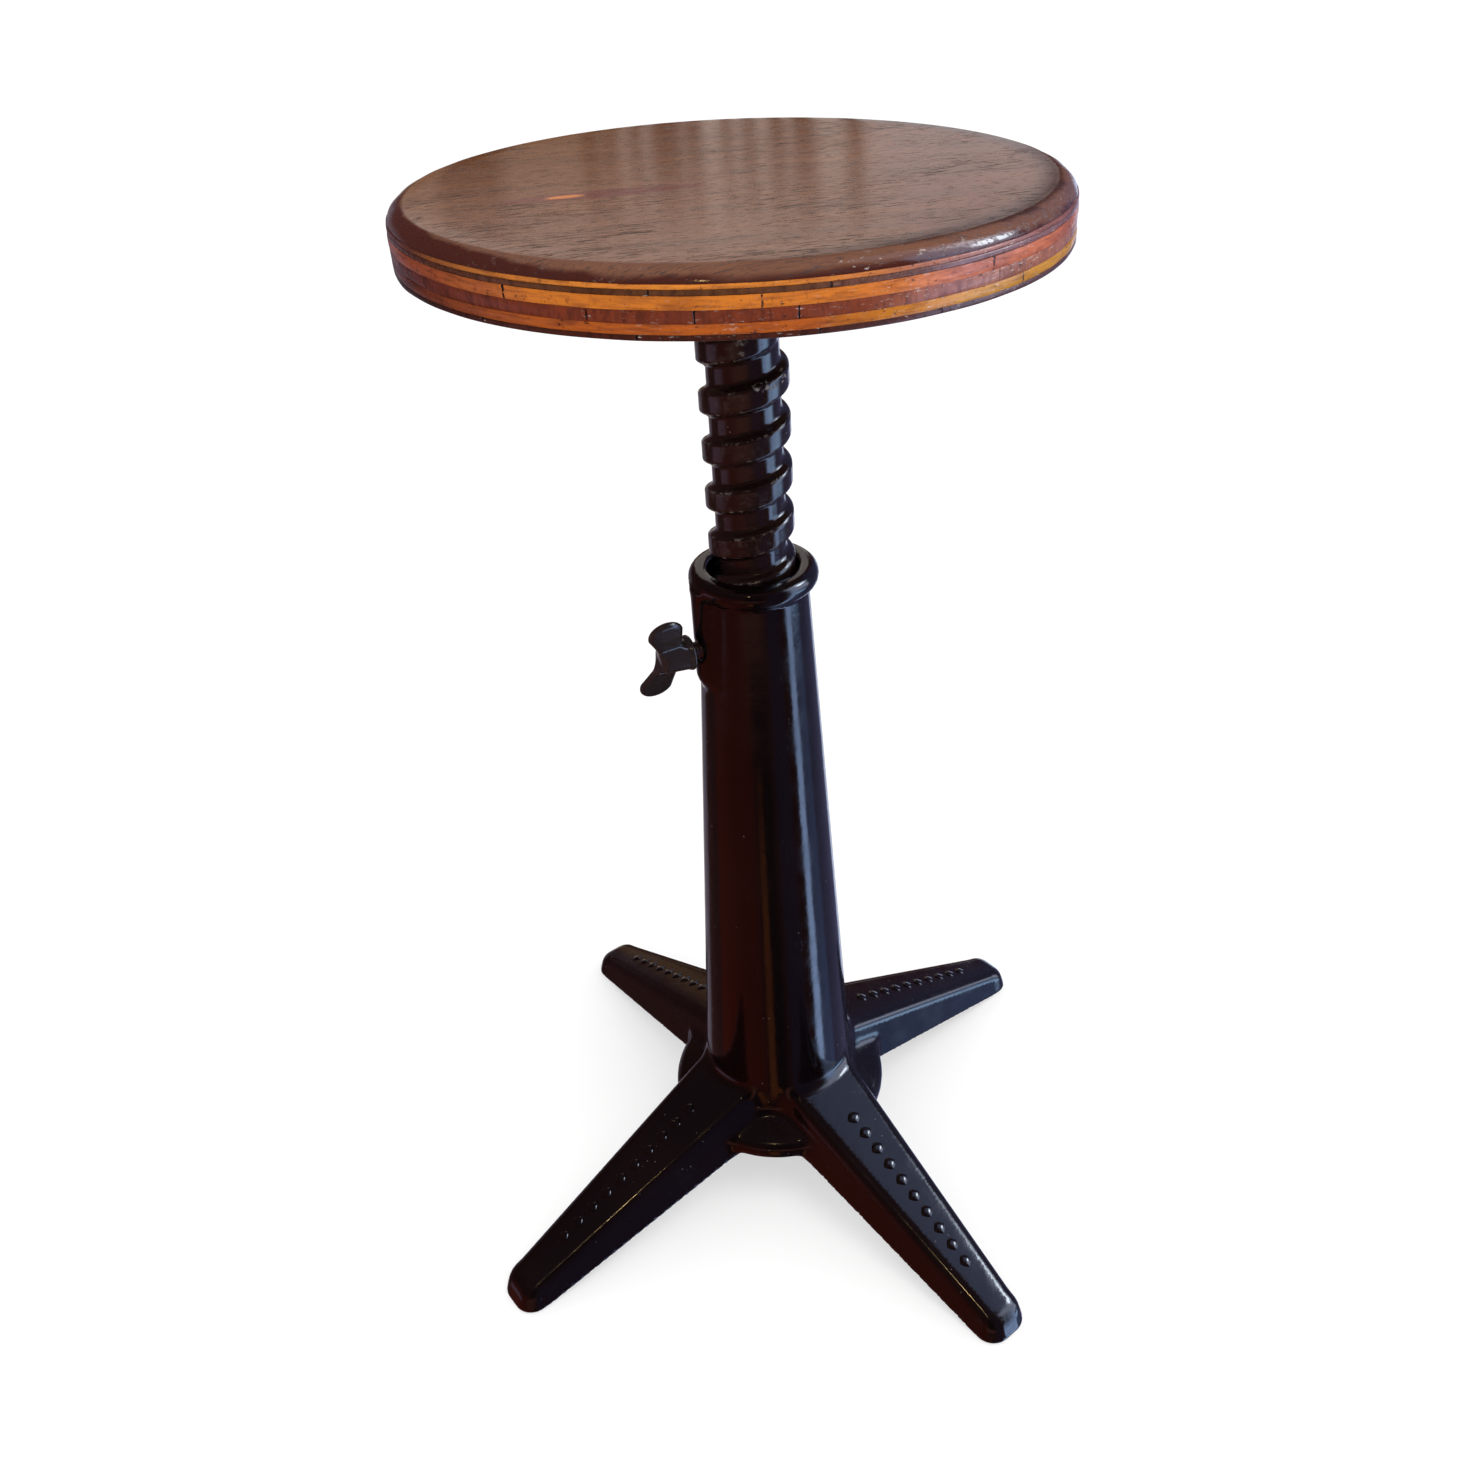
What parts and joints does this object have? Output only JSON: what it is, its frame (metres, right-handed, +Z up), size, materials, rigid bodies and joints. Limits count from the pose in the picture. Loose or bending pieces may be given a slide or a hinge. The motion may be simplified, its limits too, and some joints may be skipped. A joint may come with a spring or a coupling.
{
  "type": "adjustable swivel stool",
  "caption": "Swivel stool with a round plywood seat on a coarse screw spindle in a cast black column, standing on a star of tapered legs and clamped by a wing screw.",
  "frame": {"origin": "centre of the four feet on the floor, on the spindle's axis", "axes": "+Z up along the spindle; the legs lie on the diagonals between +X and +Y; the picture looks from the -Y side"},
  "size_m": [0.33, 0.33, 0.6526],
  "materials": {
    "black_enamel": "thick glossy black enamel over a slightly pitted casting",
    "cast_iron": "raw casting, greased",
    "steel": "dull turned steel",
    "brass": "turned brass",
    "seat_face": "semi-gloss dark varnish, worn",
    "red_ply": "ply edge, stained dark red-brown, varnished",
    "orange_ply": "ply edge, orange, varnished"
  },
  "bodies": {
    "pedestal": {"column": "black_enamel", "hub": "black_enamel", "leg_back_right": "black_enamel", "leg_back_left": "black_enamel", "leg_front_left": "black_enamel", "leg_front_right": "black_enamel", "thread_nut": "cast_iron", "nut_pin": "steel"},
    "lift": {"stop_washer": "steel"},
    "seat": {"spindle": "black_enamel", "end_bolt": "steel", "seat_flange": "black_enamel", "flange_pin": "steel", "seat_screws": "steel", "seat_ply_1": "red_ply", "seat_ply_2": "orange_ply", "seat_ply_3": "red_ply", "seat_ply_4": "orange_ply", "seat_ply_5": "red_ply", "seat_ply_6": "orange_ply", "seat_ply_7": "seat_face"},
    "clamp_pad": {"pressure_pad": "brass"},
    "clamp_screw": {"wing_screw": "black_enamel"}
  },
  "joints": [
    {"name": "seat_lift", "type": "slide", "parent": "pedestal", "child": "lift", "axis": [0, 0, 1], "range_m": [-0.1458, 0.0266]},
    {"name": "seat_turn", "type": "hinge", "parent": "lift", "child": "seat", "pos_m": [0, 0, 0.305], "axis": [0, 0, 1], "range_deg": [-1980, 360]},
    {"name": "clamp_travel", "type": "slide", "parent": "pedestal", "child": "clamp_pad", "axis": [-0.8387, -0.5446, 0], "range_m": [0, 0.00375]},
    {"name": "wing_turn", "type": "hinge", "parent": "clamp_pad", "child": "clamp_screw", "pos_m": [-0.02558, -0.01661, 0.406], "axis": [-0.8387, -0.5446, 0], "range_deg": [0, 902]}
  ],
  "couplings": [
    {"joint": "seat_lift", "follows": "seat_turn", "m_per_rad": 0.0042176},
    {"joint": "wing_turn", "follows": "clamp_travel", "rad_per_m": 4188.8}
  ]
}
